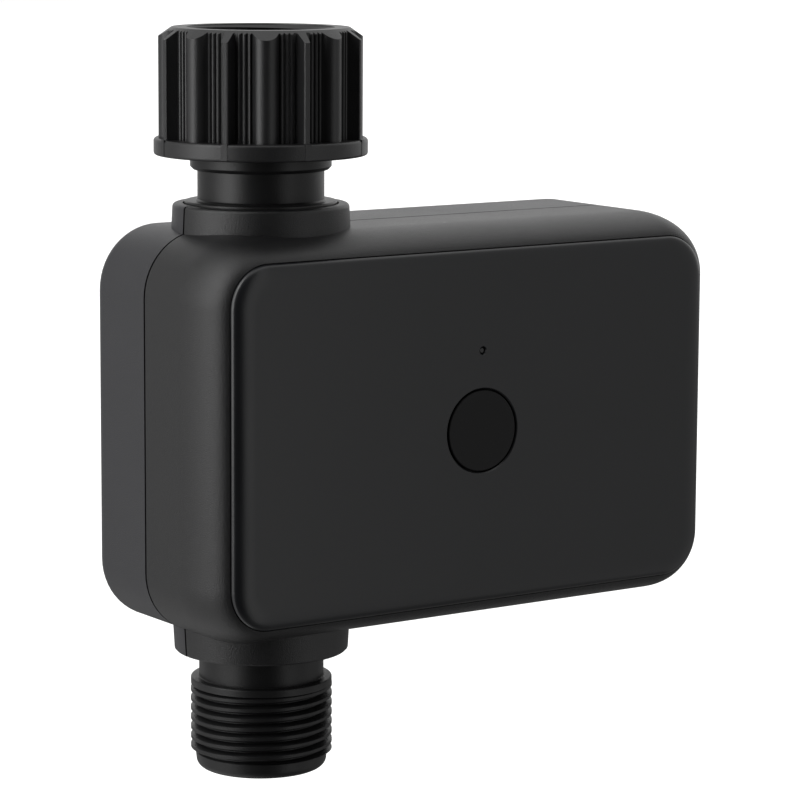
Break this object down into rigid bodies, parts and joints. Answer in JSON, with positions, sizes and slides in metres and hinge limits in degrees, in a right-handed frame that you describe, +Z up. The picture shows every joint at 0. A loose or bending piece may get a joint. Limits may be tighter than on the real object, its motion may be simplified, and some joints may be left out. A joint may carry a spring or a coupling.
{
  "type": "irrigation controller",
  "caption": "Battery tap timer: ball valve and gear train in a split housing, swivel inlet nut, threaded outlet, front push button and rear battery door.",
  "frame": {"origin": "on the pipe axis, at the inlet washer's sealing face, where the tap's spout ends", "axes": "+Z up along the pipe towards the tap, -Y towards the front with the button, +X along the housing away from the pipe"},
  "size_m": [0.115, 0.0443, 0.1388],
  "materials": {
    "housing": "black ABS with a fine spark-eroded grain",
    "panel": "smooth satin black",
    "button": "matt black",
    "nut": "satin black glass-filled nylon",
    "pipe": "satin black acetal",
    "rubber": "matt black",
    "natural_plastic": "natural acetal",
    "seat_plastic": "white PTFE",
    "brass": "turned",
    "steel": "nickel plated",
    "board": "green solder mask",
    "switch_plastic": "black",
    "light_guide": "clear polycarbonate",
    "cell_jacket": "plain printed jacket without marks"
  },
  "bodies": {
    "housing": {"front_shell": "housing", "back_shell": "housing", "face_panel": "panel", "button_seal": "rubber", "tact_switch": "switch_plastic", "light_pipe": "light_guide", "status_led": "light_guide", "circuit_board": "board", "radio_module": "steel", "board_screw_1": "steel", "board_screw_2": "steel", "shell_screw_1": "steel", "shell_screw_2": "steel", "shell_screw_3": "steel", "shell_screw_4": "steel", "tray_screw_1": "steel", "tray_screw_2": "steel", "shell_seal_left": "rubber", "shell_seal_right": "rubber", "battery_tray": "housing", "battery_cell_1": "cell_jacket", "battery_cell_2": "cell_jacket", "battery_cell_3": "cell_jacket", "battery_cell_4": "cell_jacket", "contact_spring_1": "steel", "contact_spring_2": "steel", "contact_spring_3": "steel", "contact_spring_4": "steel", "contact_plate_1": "steel", "contact_plate_2": "steel", "contact_plate_3": "steel", "contact_plate_4": "steel", "contact_plate_5": "steel", "inlet_tube": "pipe", "retainer_ring": "pipe", "inlet_washer": "rubber", "inlet_filter": "natural_plastic", "spigot_o_ring": "rubber", "valve_body": "pipe", "upper_seat": "seat_plastic", "lower_seat": "seat_plastic", "stem_o_ring": "rubber", "stem_gland": "brass", "compound_axle": "steel", "motor_gearhead": "steel", "motor_can": "steel", "gearbox_case": "natural_plastic", "gearbox_lid": "natural_plastic", "door_gasket": "rubber"},
    "nut": {"swivel_nut": "nut"},
    "button": {"button_cap": "button", "switch_actuator": "brass"},
    "ball_drive": {"ball": "brass", "valve_stem": "brass", "output_gear": "natural_plastic"},
    "compound": {"compound_gear": "natural_plastic"},
    "pinion": {"motor_pinion": "brass"},
    "door": {"battery_door": "housing"},
    "door_screw_body": {"door_screw": "steel"}
  },
  "joints": [
    {"name": "nut_swivel", "type": "hinge", "parent": "housing", "child": "nut", "pos_m": [0, 0, 0], "axis": [0, 0, 1], "continuous": true},
    {"name": "button_press", "type": "slide", "parent": "housing", "child": "button", "axis": [0, 1, 0], "range_m": [0, 0.0005], "stiffness_N_per_m": 600},
    {"name": "valve_turn", "type": "hinge", "parent": "housing", "child": "ball_drive", "pos_m": [0, 0, -0.061], "axis": [1, 0, 0], "range_deg": [0, 90]},
    {"name": "compound_spin", "type": "hinge", "parent": "housing", "child": "compound", "pos_m": [0, -0.0106, -0.06952], "axis": [1, 0, 0], "range_deg": [-217, 1]},
    {"name": "pinion_spin", "type": "hinge", "parent": "housing", "child": "pinion", "pos_m": [0, -0.0106, -0.08032], "axis": [1, 0, 0], "range_deg": [-1, 433]},
    {"name": "door_lift_off", "type": "slide", "parent": "housing", "child": "door", "axis": [0, 1, 0], "range_m": [0, 0.025]},
    {"name": "door_screw_turn", "type": "hinge", "parent": "door", "child": "door_screw_body", "pos_m": [0.0206, 0.0191, -0.061], "axis": [0, 1, 0], "continuous": true}
  ],
  "couplings": [
    {"joint": "compound_spin", "follows": "valve_turn", "ratio": -2.4},
    {"joint": "pinion_spin", "follows": "valve_turn", "ratio": 4.8}
  ]
}
